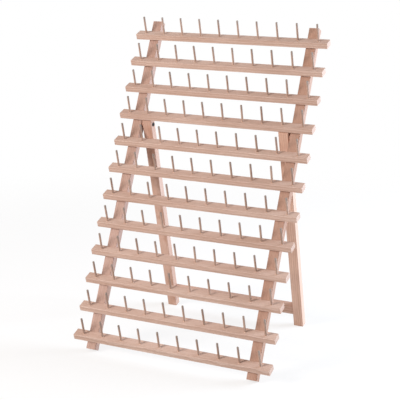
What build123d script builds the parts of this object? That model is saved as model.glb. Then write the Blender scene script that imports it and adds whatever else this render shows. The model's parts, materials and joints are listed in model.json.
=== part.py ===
from build123d import *
from math import asin, atan2, cos, degrees, hypot, radians, sin, tan
import os

# Thread rack. Two stiles lean back and carry twelve rails of spool pegs. A pair of rear
# legs, joined by a crossbar, hangs on a screw in each stile and folds in behind the rails.
# Lengths are in millimetres and angles in degrees. +X runs along the rails to the right,
# +Y to the back and +Z up from the surface that the rack stands on.

# Angles of the open rack
stile_lean = 25.7
leg_lean = 14.4
rail_tilt = 45.0

# Stiles, legs and crossbar, all cut from one stock
stock_width = 19.5
stock_depth = 15.0
eased_edge = 0.8

stile_length = 660.0

# Rails, spread evenly up the stiles
rail_count = 12
rail_length = 401.0
rail_width = 19.0
rail_thickness = 11.0
rail_eased_edge = 0.5
rail_overhang = 25.45
top_margin = 20.8
foot_margin = 34.2

# Pegs, spread evenly along the rails, each leaning back from square to its rail
peg_count = 10
peg_margin = 19.6
peg_inset = 10.7
peg_lean = 4.0
peg_radius = 2.0
peg_height = 34.0
peg_seat_depth = 6.0
peg_sides = 10
socket_sides = 8
glue_gap = 0.05

# Pivots, under the lowest of the upper rails, which stops the legs' heads
upper_rail_count = 4
pivot_drop = 24.7
stop_gap = 0.3
turning_gap = 0.3
bore_gap = 0.08

# Pivot screws and the spacers between stile and leg
screw_radius = 2.5
screw_bite = 14.0
screw_point = 4.0
screw_end_gap = 0.5
head_radius = 4.0
head_rim = 0.4
head_height = 1.3
spacer_radius = 6.0
spacer_thickness = 2.5

# Crossbar and its dowels
crossbar_rise = 36.0
dowel_radius = 3.0
dowel_length = 30.0
dowel_end_gap = 0.5

# How far a cutting shape runs past the face that it cuts
overrun = 5.0

# Sizes and places that follow
row_pitch = (stile_length - top_margin - foot_margin) / (rail_count - 1)
peg_pitch = (rail_length - peg_margin * 2) / (peg_count - 1)
stile_centre = rail_length / 2 - rail_overhang - stock_width / 2
stile_inner_face = stile_centre - stock_width / 2
leg_outer_face = stile_inner_face - spacer_thickness - turning_gap
leg_inner_face = leg_outer_face - stock_width
half_depth = stock_depth / 2
notch_depth = rail_thickness * sin(radians(rail_tilt))
peg_shoulder = peg_radius * tan(radians(peg_lean)) + glue_gap


def rail_height(row):
    """Where a rail's back top edge meets the stile, measured up the stile from its foot."""
    return stile_length - top_margin - (row - 1) * row_pitch


# The stiles' frame has its origin at the front of their feet, Y to their back and Z up them.
# The feet are cut square, so they stand on their back edges.
front_frame = Pos(Z=stock_depth * sin(radians(stile_lean))) * Rot(X=-stile_lean)

# The pivots are at mid depth of stile and leg, and X runs along them
pivot_height = rail_height(upper_rail_count) - pivot_drop
pivot = front_frame * Pos(Y=half_depth, Z=pivot_height)

# The legs' frame has its origin at the pivots and Z up the legs, which stand on their front edges
leg_frame = Pos(pivot.position) * Rot(X=leg_lean)
leg_reach = (pivot.position.Z - half_depth * sin(radians(leg_lean))) / cos(radians(leg_lean))
crossbar_place = Pos(Z=crossbar_rise - leg_reach)

# Opening ends where the legs' heads meet the underside of the rail above them
rail_face = pivot_drop * cos(radians(rail_tilt)) + half_depth * sin(radians(rail_tilt))
head_reach = rail_face - rail_thickness - stop_gap
head_slope = rail_tilt - stile_lean - leg_lean

# Folding ends where the fronts of the legs meet the back corner of the next rail down
corner_drop = row_pitch - pivot_drop + notch_depth
corner_inset = half_depth - notch_depth
corner_angle = atan2(corner_inset, corner_drop)
folded_angle = asin((half_depth + stop_gap) / hypot(corner_drop, corner_inset)) - corner_angle
fold_travel = stile_lean + leg_lean - degrees(folded_angle)


def rail_place(row):
    """A rail's frame: X along it, Y across its wide face towards the stiles, Z out of that face."""
    return front_frame * Pos(Z=rail_height(row)) * Rot(X=rail_tilt)


def upright_bar(length, width, depth, edge):
    """Square-cut bar on its end, centred in X and with Y = 0 at its front, its long edges eased."""
    blank = Box(width, depth, length, align=(Align.CENTER, Align.MIN, Align.MIN))
    return chamfer(blank.edges().filter_by(Axis.Z), edge)


def lying_bar(length, height, depth, edge):
    """The same bar laid along X, centred on all three axes."""
    return Pos(-length / 2, -depth / 2) * Rot(Y=90) * upright_bar(length, height, depth, edge)


def standing_rod(radius, length):
    """Round rod from Z = 0 up."""
    return Cylinder(radius, length, align=(Align.CENTER, Align.CENTER, Align.MIN))


def faceted_rod(corner_radius, length, sides):
    """Rod with flat sides from Z = 0 up."""
    return extrude(RegularPolygon(corner_radius, sides), length)


def stile(side):
    """Stile with a notch for each rail and a pilot hole for the pivot screw. Side is -1 or 1."""
    body = upright_bar(stile_length, stock_width, stock_depth, eased_edge)
    below_and_in_front = (Align.CENTER, Align.MAX, Align.MAX)
    notch = Box(stock_width + overrun, rail_width, rail_thickness, align=below_and_in_front)
    for row in range(1, rail_count + 1):
        body -= Pos(Z=rail_height(row)) * Rot(X=rail_tilt) * notch
    pilot_hole = standing_rod(screw_radius + glue_gap, overrun + screw_bite + screw_end_gap)
    mouth = Pos(-side * (stock_width / 2 + overrun), half_depth, pivot_height)
    body -= mouth * Rot(Y=side * 90) * pilot_hole
    return front_frame * Pos(side * stile_centre) * body


def peg_places():
    """Where the pegs' axes meet a rail's wide face, evenly spaced, with Z along the pegs."""
    first = -(peg_count - 1) * peg_pitch / 2
    lean = Rot(X=-peg_lean)
    return [Pos(first + number * peg_pitch, -peg_inset) * lean for number in range(peg_count)]


def rail(row):
    """Rail with a blind socket for each peg. The sockets' sides are flats that clear the round."""
    blank = lying_bar(rail_length, rail_thickness, rail_width, rail_eased_edge)
    body = Pos(0, -rail_width / 2, -rail_thickness / 2) * blank
    corner_radius = (peg_radius + glue_gap) / cos(radians(180 / socket_sides))
    socket = Pos(Z=-peg_seat_depth) * faceted_rod(corner_radius, peg_seat_depth + overrun, socket_sides)
    body -= [place * socket for place in peg_places()]
    return rail_place(row) * body


def peg_row(row):
    """The pegs of one rail. The first is round above the rail, and the rest have flats for its round.
    Its round starts at a shoulder that clears the rail's face, which the peg meets at a slant."""
    seat = Pos(Z=-peg_seat_depth)
    tenon = seat * faceted_rod(peg_radius - glue_gap, peg_seat_depth + peg_shoulder, socket_sides)
    round_peg = tenon + Pos(Z=peg_shoulder) * standing_rod(peg_radius, peg_height - peg_shoulder)
    peg = seat * faceted_rod(peg_radius, peg_seat_depth + peg_height, peg_sides)
    first_place, *other_places = peg_places()
    pegs = [first_place * round_peg] + [place * peg for place in other_places]
    return Compound([rail_place(row) * one for one in pegs])


def leg_outline():
    """Side of a leg in its own frame. At rest the flat half of its head seats under the rail above.
    The other half is round about the pivot, so that it passes the rail as the leg folds in."""
    round_end = degrees(asin(half_depth / head_reach))
    head = CenterArc((0, 0), head_reach, 90 + head_slope, round_end - head_slope)
    back_height = (head_reach + half_depth * sin(radians(head_slope))) / cos(radians(head_slope))
    back_corner = (half_depth, back_height)
    foot_front = (-half_depth, -leg_reach)
    foot_back = (half_depth, -leg_reach)
    return make_face(head + Polyline(head @ 1, foot_front, foot_back, back_corner, head @ 0))


def dowel_socket(side):
    """Drilled hole for a crossbar dowel, half in the leg and half in the crossbar."""
    hole = Cylinder(dowel_radius + glue_gap, dowel_length + dowel_end_gap * 2)
    return crossbar_place * Pos(side * leg_inner_face) * Rot(Y=90) * hole


def rear_leg(side):
    """Rear leg with its pivot bore and dowel socket. Side is -1 or 1."""
    body = extrude(Plane.YZ * leg_outline(), stock_width / 2, both=True)
    body = chamfer(body.edges().filter_by(Axis.Z), eased_edge)
    body -= Rot(Y=90) * Cylinder(screw_radius + bore_gap, stock_width + overrun)
    body = Pos(side * (leg_inner_face + stock_width / 2)) * body - dowel_socket(side)
    return leg_frame * body


def crossbar():
    """Crossbar between the legs, flush with their fronts and backs."""
    body = crossbar_place * lying_bar(leg_inner_face * 2, stock_width, stock_depth, eased_edge)
    return leg_frame * (body - [dowel_socket(-1), dowel_socket(1)])


def crossbar_dowels():
    """The two dowels that join the crossbar to the legs."""
    dowel = Rot(Y=90) * Cylinder(dowel_radius, dowel_length)
    ends = [Pos(side * leg_inner_face) for side in (-1, 1)]
    return Compound([leg_frame * crossbar_place * end * dowel for end in ends])


def both_sides(shape, distance):
    """A pair that mirrors each other: the shape's Z axis turned outwards, its foot this far out in X."""
    return Compound([pivot * Pos(side * distance) * Rot(Y=side * 90) * shape for side in (-1, 1)])


def pivot_screws():
    """Domed screws, driven from the legs' inner faces through leg and spacer into the stiles."""
    shank_end = turning_gap + stock_width + turning_gap + spacer_thickness + screw_bite
    dome = TangentArc((0, -head_height), (head_radius, -head_rim), tangent=(1, 0))
    shank = Polyline(
        (head_radius, -head_rim),
        (head_radius, 0),
        (screw_radius, 0),
        (screw_radius, shank_end - screw_point),
        (0, shank_end),
        (0, -head_height),
    )
    screw = revolve(Plane.XZ * make_face(dome + shank), Axis.Z)
    return both_sides(screw, leg_inner_face - turning_gap)


def pivot_spacers():
    """Spacers on the screws, flat against the stiles' inner faces."""
    ring = standing_rod(spacer_radius, spacer_thickness)
    ring -= Cylinder(screw_radius + bore_gap, spacer_thickness * 2 + overrun)
    return both_sides(ring, stile_inner_face - spacer_thickness)


nodes = {
    "left_stile": stile(-1),
    "right_stile": stile(1),
    "left_rear_leg": rear_leg(-1),
    "right_rear_leg": rear_leg(1),
    "rear_crossbar": crossbar(),
    "crossbar_dowels": crossbar_dowels(),
    "pivot_screws": pivot_screws(),
    "pivot_spacers": pivot_spacers(),
}
for row in range(1, rail_count + 1):
    nodes[f"rail_{row:02d}"] = rail(row)
    nodes[f"pegs_row_{row:02d}"] = peg_row(row)

# The rack's origin is under the middle of its length and depth
front = min(node.bounding_box().min.Y for node in nodes.values())
back = max(node.bounding_box().max.Y for node in nodes.values())
centring = Pos(Y=-(front + back) / 2)

os.makedirs("parts", exist_ok=True)
for name, node in nodes.items():
    export_step(centring * node, f"parts/{name}.step")

print("pivot at", (centring * pivot).position)
print("fold travel", round(fold_travel, 2), "degrees")
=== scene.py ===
import json
from math import atan2, cos, pi, radians, sin
from random import Random

import bmesh
import bpy
from mathutils import Matrix, Vector


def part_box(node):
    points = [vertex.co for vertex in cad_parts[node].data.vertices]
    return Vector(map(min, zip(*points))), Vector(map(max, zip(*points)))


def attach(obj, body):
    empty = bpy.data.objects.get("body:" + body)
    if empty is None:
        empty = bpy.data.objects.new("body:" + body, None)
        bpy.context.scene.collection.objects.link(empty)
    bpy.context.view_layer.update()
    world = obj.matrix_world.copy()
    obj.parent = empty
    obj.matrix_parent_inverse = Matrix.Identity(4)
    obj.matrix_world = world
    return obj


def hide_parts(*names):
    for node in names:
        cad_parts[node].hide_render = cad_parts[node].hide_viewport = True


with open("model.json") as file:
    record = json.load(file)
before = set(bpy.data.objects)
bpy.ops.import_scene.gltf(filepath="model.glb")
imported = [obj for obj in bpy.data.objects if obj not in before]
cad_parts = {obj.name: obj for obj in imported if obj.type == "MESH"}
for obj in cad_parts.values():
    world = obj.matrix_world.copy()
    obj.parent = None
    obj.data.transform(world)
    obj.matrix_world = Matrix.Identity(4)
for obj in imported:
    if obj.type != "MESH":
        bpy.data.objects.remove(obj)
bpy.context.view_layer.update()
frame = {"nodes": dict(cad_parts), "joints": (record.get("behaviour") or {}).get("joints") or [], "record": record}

# A folding thread rack of planed beech, seen from its front right in a pale studio.
# Lengths are in metres and angles in radians. +X runs along the rails, +Y to the back and +Z up.

MM = 0.001
NODES = frame["nodes"]
MOUNTS = {mount["name"]: mount for mount in frame["record"]["mounts"]}
ROWS = range(1, 13)

# How the pieces stand: the rails lie at 45 degrees to the stiles, and the open legs lean as drawn
UP_PEGS = Vector(MOUNTS["spool_peg_row_01"]["axis"])
BACK_OF_STILES = Vector(MOUNTS["left_stile_back_face"]["axis"])
PEG_TILT = atan2(-UP_PEGS.y, UP_PEGS.z)
STILE_LEAN = atan2(-BACK_OF_STILES.z, BACK_OF_STILES.y)
RAIL_TILT = radians(45) - STILE_LEAN
LEG_LEAN = radians(14.4)

# Pegs
PEG_RADIUS = MOUNTS["spool_peg_row_01"]["dims"]["r_mm"] * MM
ROUND_LENGTH = MOUNTS["spool_peg_row_01"]["dims"]["length_mm"] * MM
PEG_HEIGHT = 34 * MM
PEG_SEAT = 6 * MM
PEGS_PER_ROW = 10
PEG_SIDES = 28
PEG_ROUNDING = 0.9 * MM
PEG_WANDER_DEGREES = 0.35
UP_THE_PEG = "up_the_peg"

# Wood
RING_SPACING = 2.6 * MM
PORE_SPACING = 0.5 * MM

# Glue beads round the pegs' feet
BEAD_SPREAD = 0.35 * MM
BEAD_HEIGHT = 0.4 * MM

# Pivot screws
PIVOT = Vector(frame["joints"][0]["pos_m"])
TURNING_GAP = 0.3 * MM
HEAD_RADIUS = 4 * MM
HEAD_HEIGHT = 1.3 * MM
HEAD_ROUNDING = 1.1 * MM
RECESS_SIZE = (4.2 * MM, 1.0 * MM, 1.7 * MM)
RECESS_TURN = 0.5
SHANK_RADIUS = 2.5 * MM
SHANK_POINT = 4 * MM

# Camera, with its lens and the width of its film in millimetres
CAMERA_PLACE = (838.35 * MM, -1771.32 * MM, 791.65 * MM)
CAMERA_AZIMUTH = radians(-25.546)
CAMERA_ELEVATION = radians(13.525)
CAMERA_LENS = 95.97
CAMERA_FILM = 36.0
CAMERA_SHIFT = -0.05

# Light
ROOM_LIGHT = 0.4
MIDDLE_OF_RACK = Vector((0, 0, 0.3))

# Floor. Its glow and its seen colour, lit as it is here, add up to white
FLOOR_REACH = 1.6
FLOOR_FADES_FROM = 0.4 * FLOOR_REACH
FLOOR_IS_GONE_AT = 0.98 * FLOOR_REACH
PAPER_COLOUR = "#C4C3C1"
PAPER_SEEN_COLOUR = "#827C78"
PAPER_GLOW = 0.76


def linear(hex_colour):
    """An sRGB hex colour as the linear colour that a socket holds."""
    channels = [int(hex_colour[i:i + 2], 16) / 255 for i in (1, 3, 5)]
    return [c / 12.92 if c <= 0.04045 else ((c + 0.055) / 1.055) ** 2.4 for c in channels] + [1.0]


def add_node(tree, kind, settings=None, inputs=None, stops=None):
    """Adds a node, sets its properties, and sets or links its inputs by name or number.
    The stops of a colour ramp are pairs of a place from 0 to 1 and an sRGB hex colour."""
    node = tree.nodes.new("ShaderNode" + kind)
    for name, value in (settings or {}).items():
        setattr(node, name, value)
    for key, value in (inputs or {}).items():
        if isinstance(value, bpy.types.Node):
            value = value.outputs[0]
        if isinstance(value, bpy.types.NodeSocket):
            tree.links.new(value, node.inputs[key])
        else:
            node.inputs[key].default_value = value
    for number, (place, hex_colour) in enumerate(stops or []):
        elements = node.color_ramp.elements
        element = elements[number] if number < len(elements) else elements.new(place)
        element.position = place
        element.color = linear(hex_colour)
    return node


def new_material(name, surface=None):
    """A material with a Principled shader that has these settings."""
    material = bpy.data.materials.new(name)
    material.use_nodes = True
    tree = material.node_tree
    tree.nodes.clear()
    shader = add_node(tree, "BsdfPrincipled", inputs=surface)
    add_node(tree, "OutputMaterial", inputs={"Surface": shader})
    return material, tree, shader


def planed_wood(name, grain, tones, pith, roughness=0.56, tip=None):
    """Beech or birch, planed or turned and sanded, with no finish: a pale pinkish tan with fine dark
    flecks, faint growth rings that run lengthwise and soft streaks, matt, and darker on cut ends.
    grain turns object coordinates so that X runs along the fibres. tones are the light and dark
    of the wood, and its flecks. pith is how far the tree's middle lies away. tip is the grey that
    the pegs turn towards their tips."""
    material, tree, shader = new_material(name, {"Roughness": roughness, "Specular IOR Level": 0.42})
    multiply = {"blend_type": "MULTIPLY"}
    light, dark, fleck_tone = tones

    # Each piece is cut from its own place in the tree
    place = add_node(tree, "TexCoord")
    piece = add_node(tree, "ObjectInfo")
    apart = add_node(tree, "Math", {"operation": "MULTIPLY"}, {0: piece.outputs["Random"], 1: 0.7})
    shift = add_node(tree, "CombineXYZ", inputs={"X": apart, "Y": apart, "Z": apart})
    moved_on = add_node(tree, "VectorMath", {"operation": "ADD"}, {0: place.outputs["Object"], 1: shift})
    along = add_node(tree, "Mapping", inputs={"Vector": moved_on, "Rotation": grain, "Location": pith})

    def figure(kind, length, width, detail):
        """A pattern whose figures are this long along the fibres and this wide across them."""
        settings = {"vector_type": "TEXTURE"}
        drawn_out = add_node(tree, "Mapping", settings, {"Vector": along, "Scale": (length, width, width)})
        return add_node(tree, kind, inputs={"Vector": drawn_out, "Scale": 1.0, **detail})

    # Slow changes of tone, streaks, and single fibres
    tone = figure("TexNoise", 180 * MM, 26 * MM, {"Detail": 2.0})
    streak = figure("TexNoise", 38 * MM, 1.1 * MM, {"Detail": 4.0})
    fibre = figure("TexNoise", 7 * MM, 0.24 * MM, {"Detail": 3.0})

    # Growth rings, bent a little by noise that changes slowly along the fibres. At a scale of 1
    # the pattern's rings are pi / 10 apart
    settings = {"vector_type": "TEXTURE"}
    slowly = add_node(tree, "Mapping", settings, {"Vector": along, "Scale": (450 * MM, 1.0, 1.0)})
    bend = {"Distortion": 3.2, "Detail": 2.0, "Detail Scale": 0.12}
    ring = add_node(
        tree, "TexWave",
        {"wave_type": "RINGS", "rings_direction": "X", "wave_profile": "SAW"},
        {"Vector": slowly, "Scale": pi / 10 / RING_SPACING, **bend},
    )

    # Ray flecks, spindles 2.4 mm long and half a millimetre wide, on about half of their cells
    cell = figure("TexVoronoi", 4.2 * MM, 1.1 * MM, {})
    spindle = {"From Min": 0.16, "From Max": 0.32, "To Min": 1.0, "To Max": 0.0}
    near = add_node(tree, "MapRange", inputs={"Value": cell.outputs["Distance"], **spindle})
    chosen = add_node(tree, "Math", {"operation": "GREATER_THAN"}, {0: cell.outputs["Color"], 1: 0.42})
    fleck = add_node(tree, "Math", {"operation": "MULTIPLY"}, {0: near, 1: chosen})

    # Cut ends are the faces that look along the fibres
    settings = {"vector_type": "NORMAL"}
    facing = add_node(tree, "Mapping", settings, {"Vector": place.outputs["Normal"], "Rotation": grain})
    lengthwise = add_node(tree, "SeparateXYZ", inputs={"Vector": facing})
    straight = add_node(tree, "Math", {"operation": "ABSOLUTE"}, {0: lengthwise.outputs["X"]})
    cut_end = add_node(tree, "MapRange", inputs={"Value": straight, "From Min": 0.80, "From Max": 0.92})
    pore = add_node(tree, "TexVoronoi", inputs={"Vector": along, "Scale": 1 / PORE_SPACING})
    hollow = {"Value": pore.outputs["Distance"], "From Min": 0.15, "From Max": 0.45}
    pores = add_node(tree, "MapRange", inputs=hollow)

    wood = add_node(tree, "ValToRGB", inputs={"Fac": tone}, stops=[(0.30, dark), (0.70, light)])
    layers = (
        (0.55, streak, [(0.30, "#D8CBC0"), (0.70, "#FFFFFF")]),
        (0.50, ring, [(0.0, "#E2D2C6"), (0.14, "#FFFFFF"), (0.66, "#F4E9E0"), (0.97, "#D2BBAA")]),
        (0.45, fibre, [(0.32, "#DCCFC4"), (0.62, "#FFFFFF")]),
    )
    for strength, pattern, stops in layers:
        layer = add_node(tree, "ValToRGB", inputs={"Fac": pattern}, stops=stops)
        wood = add_node(tree, "MixRGB", multiply, {"Fac": strength, "Color1": wood, "Color2": layer})
    flecks = add_node(tree, "Math", {"operation": "MULTIPLY"}, {0: fleck, 1: 0.50})
    wood = add_node(tree, "MixRGB", inputs={"Fac": flecks, "Color1": wood, "Color2": linear(fleck_tone)})
    speckled = add_node(tree, "ValToRGB", inputs={"Fac": pores}, stops=[(0.0, "#C4AA98"), (1.0, "#F8F0EA")])
    end_wood = add_node(tree, "MixRGB", multiply, {"Fac": 0.75, "Color1": wood, "Color2": speckled})
    wood = add_node(tree, "MixRGB", inputs={"Fac": cut_end, "Color1": wood, "Color2": end_wood})
    if tip:
        # The pegs turn greyer towards their tips
        height = add_node(tree, "Attribute", {"attribute_name": UP_THE_PEG})
        greying = {"From Min": 0.64, "From Max": 1.0, "To Min": 0.0, "To Max": 0.74}
        greyed_to_tip = add_node(tree, "MapRange", inputs={"Value": height.outputs["Fac"], **greying})
        wood = add_node(tree, "MixRGB", inputs={"Fac": greyed_to_tip, "Color1": wood, "Color2": linear(tip)})
    tree.links.new(wood.outputs[0], shader.inputs["Base Color"])

    grain_height = add_node(tree, "Math", {"operation": "MULTIPLY_ADD"}, {0: fibre, 1: 0.6, 2: streak})
    relief = add_node(tree, "Math", {"operation": "SUBTRACT"}, {0: grain_height, 1: fleck})
    bump = add_node(tree, "Bump", inputs={"Height": relief, "Strength": 0.35, "Distance": 0.12 * MM})
    tree.links.new(bump.outputs[0], shader.inputs["Normal"])
    return material


def along_fibres(tilt):
    """Turns coordinates so that X runs up a piece that leans back by this tilt."""
    return (tilt, pi / 2, 0.0)


def blackened_steel(name):
    """Steel with a black oxide finish: nearly black and satin, with lighter rubbed patches."""
    material, tree, shader = new_material(name, {"Metallic": 1.0})
    place = add_node(tree, "TexCoord")
    patches = {"Vector": place.outputs["Object"], "Scale": 1 / (2.2 * MM), "Detail": 5.0}
    rubbing = add_node(tree, "TexNoise", inputs=patches)
    tones = [(0.35, "#2E2A28"), (0.62, "#3D3836"), (0.80, "#5C5753")]
    colour = add_node(tree, "ValToRGB", inputs={"Fac": rubbing}, stops=tones)
    satin = {"From Min": 0.3, "From Max": 0.7, "To Min": 0.48, "To Max": 0.30}
    roughness = add_node(tree, "MapRange", inputs={"Value": rubbing, **satin})
    tree.links.new(colour.outputs[0], shader.inputs["Base Color"])
    tree.links.new(roughness.outputs[0], shader.inputs["Roughness"])
    return material


def vulcanised_fibre(name):
    """Vulcanised fibre, stamped: a dull red brown, faintly clouded like pressed paper, matt."""
    material, tree, shader = new_material(name, {"Roughness": 0.68})
    place = add_node(tree, "TexCoord")
    clouds = {"Vector": place.outputs["Object"], "Scale": 1 / (0.8 * MM), "Detail": 4.0}
    cloud = add_node(tree, "TexNoise", inputs=clouds)
    tones = [(0.35, "#976650"), (0.65, "#AC7A62")]
    colour = add_node(tree, "ValToRGB", inputs={"Fac": cloud}, stops=tones)
    tree.links.new(colour.outputs[0], shader.inputs["Base Color"])
    return material


def dried_glue(name):
    """Dried wood glue: a thin, slightly yellow and glossy bead."""
    material, tree, shader = new_material(name, {"Roughness": 0.35, "IOR": 1.47})
    place = add_node(tree, "TexCoord")
    clouds = {"Vector": place.outputs["Object"], "Scale": 1 / (1.5 * MM)}
    cloud = add_node(tree, "TexNoise", inputs=clouds)
    tones = [(0.35, "#CBA387"), (0.70, "#DDBBA2")]
    colour = add_node(tree, "ValToRGB", inputs={"Fac": cloud}, stops=tones)
    tree.links.new(colour.outputs[0], shader.inputs["Base Color"])
    return material


UP_THE_STILES = along_fibres(STILE_LEAN)
UP_THE_LEGS = along_fibres(-LEG_LEAN)
UP_THE_PEGS = along_fibres(-PEG_TILT)
LENGTHWISE = (0, 0, 0)
RAIL_TONES = ("#E3C7B9", "#D3B2A2", "#A4775B")
LEFT_STILE_TONES = ("#C9A699", "#BA9482", "#8F5F47")
# The right stile's tones are a little darker than the left stile's: painted shade for the key light falling off
# towards the right
RIGHT_STILE_TONES_WITH_PAINTED_SHADE = ("#C79F8B", "#B68972", "#8B593C")
LEFT_LEG_TONES = ("#DBB6A4", "#CEA490", "#A06E52")
# The right leg's tones are lighter than the left leg's: painted light that makes up for the key light lying
# farther from it
RIGHT_LEG_TONES_WITH_PAINTED_LIGHT = ("#F0CAB6", "#E2B8A2", "#AE795A")
PEG_TONES = ("#CBAC9B", "#B19282", "#876753")

MATERIALS = {
    "rail_wood": planed_wood("planed_beech_rails", LENGTHWISE, RAIL_TONES, (0, 0.21, -0.13)),
    "left_stile_wood": planed_wood(
        "planed_beech_left_stile", UP_THE_STILES, LEFT_STILE_TONES, (0, 0.17, 0.09)
    ),
    # The right stile's tones carry painted shade
    "right_stile_wood_painted_shade": planed_wood(
        "planed_beech_right_stile_painted_shade", UP_THE_STILES, RIGHT_STILE_TONES_WITH_PAINTED_SHADE, (0, 0.11, 0.15)
    ),
    "left_leg_wood": planed_wood("planed_beech_left_leg", UP_THE_LEGS, LEFT_LEG_TONES, (0, -0.12, 0.16)),
    # The right leg's tones carry painted light
    "right_leg_wood_painted_light": planed_wood("planed_beech_right_leg_painted_light", UP_THE_LEGS, RIGHT_LEG_TONES_WITH_PAINTED_LIGHT, (0, -0.12, 0.16)),
    "crossbar_wood": planed_wood("planed_beech_crossbar", LENGTHWISE, LEFT_LEG_TONES, (0, 0.1, 0.1)),
    "peg_wood": planed_wood(
        "turned_birch_pegs", UP_THE_PEGS, PEG_TONES, (0, 0.05, 0.05), roughness=0.62, tip="#94877E"
    ),
    "screw_steel": blackened_steel("blackened_steel"),
    "spacer_fibre": vulcanised_fibre("brown_vulcanised_fibre"),
    "glue": dried_glue("dried_wood_glue"),
}


def only(piece):
    """Selects one piece and makes it the active one."""
    bpy.ops.object.select_all(action="DESELECT")
    piece.select_set(True)
    bpy.context.view_layer.objects.active = piece


def started(name):
    """Names the primitive that was just added and puts its place in its mesh."""
    piece = bpy.context.object
    piece.name = name
    only(piece)
    bpy.ops.object.transform_apply(location=True, rotation=True, scale=True)
    return piece


def select_faces(piece, wanted):
    """In edit mode, selects the faces that pass a test."""
    bpy.ops.mesh.select_mode(type="FACE")
    bpy.ops.mesh.select_all(action="DESELECT")
    mesh = bmesh.from_edit_mesh(piece.data)
    for face in mesh.faces:
        face.select_set(wanted(face))
    bmesh.update_edit_mesh(piece.data)


def copy_of(piece, name):
    """A copy with its own mesh."""
    only(piece)
    bpy.ops.object.duplicate(linked=False)
    copy = bpy.context.object
    copy.name = name
    return copy


def set_in_place(piece, place):
    """Puts a piece where a matrix says, with its place in its mesh."""
    piece.matrix_world = place
    only(piece)
    bpy.ops.object.transform_apply(location=True, rotation=True, scale=True)
    return piece


def joined(pieces, name):
    """Several pieces as one."""
    bpy.ops.object.select_all(action="DESELECT")
    for piece in pieces:
        piece.select_set(True)
    bpy.context.view_layer.objects.active = pieces[0]
    bpy.ops.object.join()
    piece = bpy.context.object
    piece.name = name
    return piece


def in_a_row(piece, spacing):
    """Repeats a piece along X, once for each peg of a row."""
    array = piece.modifiers.new("row", "ARRAY")
    array.count = PEGS_PER_ROW
    array.use_relative_offset = False
    array.use_constant_offset = True
    array.constant_offset_displace = (spacing, 0, 0)
    only(piece)
    bpy.ops.object.modifier_apply(modifier="row")
    return piece


def finish_piece(piece, material):
    """Gives a piece its material and lets it move with the stiles."""
    piece.data.materials.clear()
    piece.data.materials.append(material)
    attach(piece, "front_frame")


def turned_peg():
    """One spool peg, upright with its foot at the origin: a round rod with its tip rounded over.
    An attribute says how far up the peg each point is, from 0 to 1."""
    bpy.ops.object.select_all(action="DESELECT")
    bpy.ops.mesh.primitive_cylinder_add(
        vertices=PEG_SIDES, radius=PEG_RADIUS, depth=PEG_HEIGHT + PEG_SEAT,
        location=(0, 0, (PEG_HEIGHT - PEG_SEAT) / 2),
    )
    peg = started("peg")
    bpy.ops.object.mode_set(mode="EDIT")
    select_faces(peg, lambda face: face.normal.z > 0.9)
    bpy.ops.mesh.bevel(offset=PEG_ROUNDING, segments=4, profile=0.5)
    bpy.ops.object.mode_set(mode="OBJECT")
    bpy.ops.object.shade_smooth_by_angle(angle=radians(40))
    up = peg.data.attributes.new(UP_THE_PEG, "FLOAT", "POINT")
    for point in peg.data.vertices:
        up.data[point.index].value = point.co.z / PEG_HEIGHT
    return peg


def glue_bead():
    """The thin bead of glue round a peg's foot."""
    bpy.ops.object.select_all(action="DESELECT")
    bpy.ops.mesh.primitive_cone_add(
        vertices=PEG_SIDES, radius1=PEG_RADIUS + BEAD_SPREAD, radius2=PEG_RADIUS, depth=BEAD_HEIGHT,
        location=(0, 0, BEAD_HEIGHT / 2),
    )
    bead = started("glue_bead")
    bpy.ops.object.shade_smooth_by_angle(angle=radians(60))
    return bead


def set_by_hand(piece, spacing, chance):
    """Pegs glued in by hand: each stands a little off the direction of its row."""
    only(piece)
    bpy.ops.object.mode_set(mode="EDIT")
    for number in range(PEGS_PER_ROW):
        middle = number * spacing
        select_faces(piece, lambda face: abs(face.calc_center_median().x - middle) < spacing / 2)
        for axis in ("X", "Y"):
            wander = radians(chance.gauss(0, PEG_WANDER_DEGREES))
            bpy.ops.transform.rotate(value=wander, orient_axis=axis, center_override=(middle, 0, 0))
    bpy.ops.object.mode_set(mode="OBJECT")


def make_peg_rows():
    """A row of pegs for each rail, with a bead of glue round each foot."""
    row_low, row_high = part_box("pegs_row_01")
    spacing = (row_high.x - row_low.x - PEG_RADIUS * 2) / (PEGS_PER_ROW - 1)
    peg_row = in_a_row(turned_peg(), spacing)
    bead_row = in_a_row(glue_bead(), spacing)
    chance = Random(7)
    for row in ROWS:
        middle = Vector(MOUNTS[f"spool_peg_row_{row:02d}"]["pos_m"])
        foot = Matrix.Translation(middle - UP_PEGS * (PEG_HEIGHT - ROUND_LENGTH / 2))
        pegs = copy_of(peg_row, f"pegs_{row:02d}")
        set_by_hand(pegs, spacing, chance)
        set_in_place(pegs, foot @ Matrix.Rotation(PEG_TILT, 4, "X"))
        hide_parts(f"pegs_row_{row:02d}")
        finish_piece(pegs, MATERIALS["peg_wood"])
        beads = copy_of(bead_row, f"glue_beads_{row:02d}")
        set_in_place(beads, foot @ Matrix.Rotation(RAIL_TILT, 4, "X"))
        finish_piece(beads, MATERIALS["glue"])
    for pattern in (peg_row, bead_row):
        bpy.data.objects.remove(pattern, do_unlink=True)


def cut_recess(head, turn):
    """Cuts one arm of the cross recess into a screw head."""
    bpy.ops.mesh.primitive_cube_add(
        size=1, location=(0, 0, -HEAD_HEIGHT), rotation=(0, 0, turn), scale=RECESS_SIZE
    )
    cutter = started("cutter")
    recess = head.modifiers.new("recess", "BOOLEAN")
    recess.operation = "DIFFERENCE"
    recess.solver = "EXACT"
    recess.object = cutter
    only(head)
    bpy.ops.object.modifier_apply(modifier="recess")
    bpy.data.objects.remove(cutter, do_unlink=True)


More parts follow.
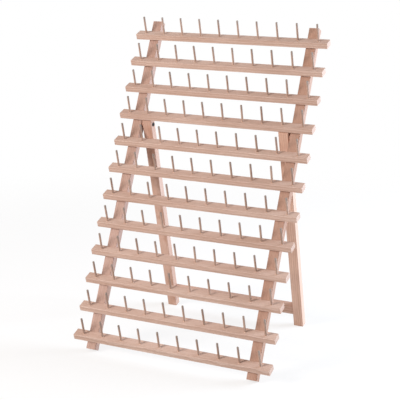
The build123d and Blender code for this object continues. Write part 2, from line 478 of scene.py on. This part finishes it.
def screw_head():
    """A low rounded screw head with a cross recess, its underside at the origin and facing up."""
    bpy.ops.object.select_all(action="DESELECT")
    bpy.ops.mesh.primitive_cylinder_add(
        vertices=48, radius=HEAD_RADIUS, depth=HEAD_HEIGHT, location=(0, 0, -HEAD_HEIGHT / 2)
    )
    head = started("screw_head")
    bpy.ops.object.mode_set(mode="EDIT")
    select_faces(head, lambda face: face.normal.z < -0.9)
    bpy.ops.mesh.bevel(offset=HEAD_ROUNDING, segments=7, profile=0.5)
    bpy.ops.object.mode_set(mode="OBJECT")
    for turn in (0, pi / 2):
        cut_recess(head, turn)
    return head


def screw_shank(length):
    """A screw's shank from the origin up, drawn in to a point."""
    straight = length - SHANK_POINT
    bpy.ops.object.select_all(action="DESELECT")
    bpy.ops.mesh.primitive_cylinder_add(
        vertices=32, radius=SHANK_RADIUS, depth=straight, location=(0, 0, straight / 2)
    )
    shank = started("screw_shank")
    bpy.ops.object.mode_set(mode="EDIT")
    select_faces(shank, lambda face: face.normal.z > 0.9)
    bpy.ops.mesh.extrude_region_move(TRANSFORM_OT_translate={"value": (0, 0, SHANK_POINT)})
    bpy.ops.transform.resize(value=(0.1, 0.1, 1.0))
    bpy.ops.object.mode_set(mode="OBJECT")
    return shank


def make_screws():
    """The two pivot screws, driven outwards from the legs' inner faces."""
    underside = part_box("right_rear_leg")[0].x - TURNING_GAP
    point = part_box("pivot_screws")[1].x
    screw = joined([screw_head(), screw_shank(point - underside)], "pivot_screw")
    pair = []
    for side in (-1, 1):
        place = Matrix.Translation((side * underside, PIVOT.y, PIVOT.z))
        outwards = Matrix.Rotation(side * pi / 2, 4, "Y") @ Matrix.Rotation(RECESS_TURN * side, 4, "Z")
        pair.append(set_in_place(copy_of(screw, "pivot_screw"), place @ outwards))
    bpy.data.objects.remove(screw, do_unlink=True)
    screws = joined(pair, "low_headed_pivot_screws")
    bpy.ops.object.shade_smooth_by_angle(angle=radians(35))
    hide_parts("pivot_screws")
    finish_piece(screws, MATERIALS["screw_steel"])


def dress_frame_nodes():
    """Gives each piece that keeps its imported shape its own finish."""
    finishes = {
        "left_stile": "left_stile_wood",
        "right_stile": "right_stile_wood_painted_shade",
        "left_rear_leg": "left_leg_wood",
        "right_rear_leg": "right_leg_wood_painted_light",
        "rear_crossbar": "crossbar_wood",
        "crossbar_dowels": "crossbar_wood",
        "pivot_spacers": "spacer_fibre",
    }
    finishes.update({f"rail_{row:02d}": "rail_wood" for row in ROWS})
    for node, finish in finishes.items():
        for slot in NODES[node].material_slots:
            slot.material = MATERIALS[finish]


def seen_ray(tree):
    """1 for the rays by which the eye, gloss and glass see the room, and 0 for those that light it."""
    rays = add_node(tree, "LightPath")
    either = {0: rays.outputs["Is Camera Ray"], 1: rays.outputs["Is Glossy Ray"]}
    eye = add_node(tree, "Math", {"operation": "MAXIMUM"}, either)
    eye_or_glass = {0: eye, 1: rays.outputs["Is Transmission Ray"]}
    return add_node(tree, "Math", {"operation": "MAXIMUM"}, eye_or_glass)


def make_floor():
    """A sheet of matt white paper that fades out into the white room. To the eye it glows by as
    much as it lacks to look white where nothing shades it, so only the soft shadow shows."""
    bpy.ops.object.select_all(action="DESELECT")
    bpy.ops.mesh.primitive_plane_add(size=FLOOR_REACH * 2)
    floor = bpy.context.object
    floor.name = "floor"
    material = bpy.data.materials.new("matt_white_paper")
    material.use_nodes = True
    tree = material.node_tree
    tree.nodes.clear()
    seen = seen_ray(tree)
    tints = {"Fac": seen, "Color1": linear(PAPER_COLOUR), "Color2": linear(PAPER_SEEN_COLOUR)}
    tint = add_node(tree, "MixRGB", inputs=tints)
    paper = add_node(tree, "BsdfDiffuse", inputs={"Color": tint})
    strength = add_node(tree, "Math", {"operation": "MULTIPLY"}, {0: seen, 1: PAPER_GLOW})
    glow = add_node(tree, "Emission", inputs={"Color": linear("#FFFFFF"), "Strength": strength})
    sheet = add_node(tree, "AddShader", inputs={0: paper, 1: glow})
    place = add_node(tree, "TexCoord")
    distance = add_node(tree, "VectorMath", {"operation": "LENGTH"}, {0: place.outputs["Object"]})
    fading = add_node(
        tree, "MapRange", {"interpolation_type": "SMOOTHSTEP"},
        {"Value": distance.outputs["Value"], "From Min": FLOOR_FADES_FROM, "From Max": FLOOR_IS_GONE_AT},
    )
    nothing = add_node(tree, "BsdfTransparent")
    faded = add_node(tree, "MixShader", inputs={0: fading, 1: sheet, 2: nothing})
    add_node(tree, "OutputMaterial", inputs={"Surface": faded})
    floor.data.materials.append(material)


def make_world():
    """An even white room. The eye and reflections see plain white."""
    world = bpy.data.worlds.new("white_room")
    bpy.context.scene.world = world
    world.use_nodes = True
    tree = world.node_tree
    tree.nodes.clear()
    levels = {"To Min": ROOM_LIGHT, "To Max": 1.0}
    strength = add_node(tree, "MapRange", inputs={"Value": seen_ray(tree), **levels})
    white = add_node(tree, "Background", inputs={"Color": linear("#FFFFFF"), "Strength": strength})
    add_node(tree, "OutputWorld", inputs={"Surface": white})


def soft_light(name, place, size, watts, colour):
    """A square soft box that faces the middle of the rack."""
    bpy.ops.object.light_add(type="AREA", location=place)
    light = bpy.context.object
    light.name = name
    light.data.shape = "SQUARE"
    light.data.size = size
    light.data.energy = watts
    light.data.color = linear(colour)[:3]
    light.rotation_euler = (MIDDLE_OF_RACK - Vector(place)).to_track_quat("-Z", "Y").to_euler()
    light.visible_camera = False


def make_camera():
    """The photograph's camera, by its place, its turn and its lens."""
    bpy.ops.object.camera_add(location=CAMERA_PLACE)
    camera = bpy.context.object
    camera.name = "camera"
    look = Vector((
        sin(CAMERA_AZIMUTH) * cos(CAMERA_ELEVATION),
        cos(CAMERA_AZIMUTH) * cos(CAMERA_ELEVATION),
        -sin(CAMERA_ELEVATION),
    ))
    camera.rotation_euler = look.to_track_quat("-Z", "Y").to_euler()
    camera.data.sensor_width = CAMERA_FILM
    camera.data.lens = CAMERA_LENS
    camera.data.shift_y = CAMERA_SHIFT
    bpy.context.scene.camera = camera


make_peg_rows()
make_screws()
dress_frame_nodes()
make_world()
make_floor()
soft_light("key", place=(-1.4, -2.0, 1.25), size=0.95, watts=60, colour="#FFFFFF")
soft_light("side", place=(1.9, 1.1, 0.9), size=1.2, watts=108, colour="#CDE7FF")
make_camera()
bpy.context.scene.view_settings.view_transform = "Standard"
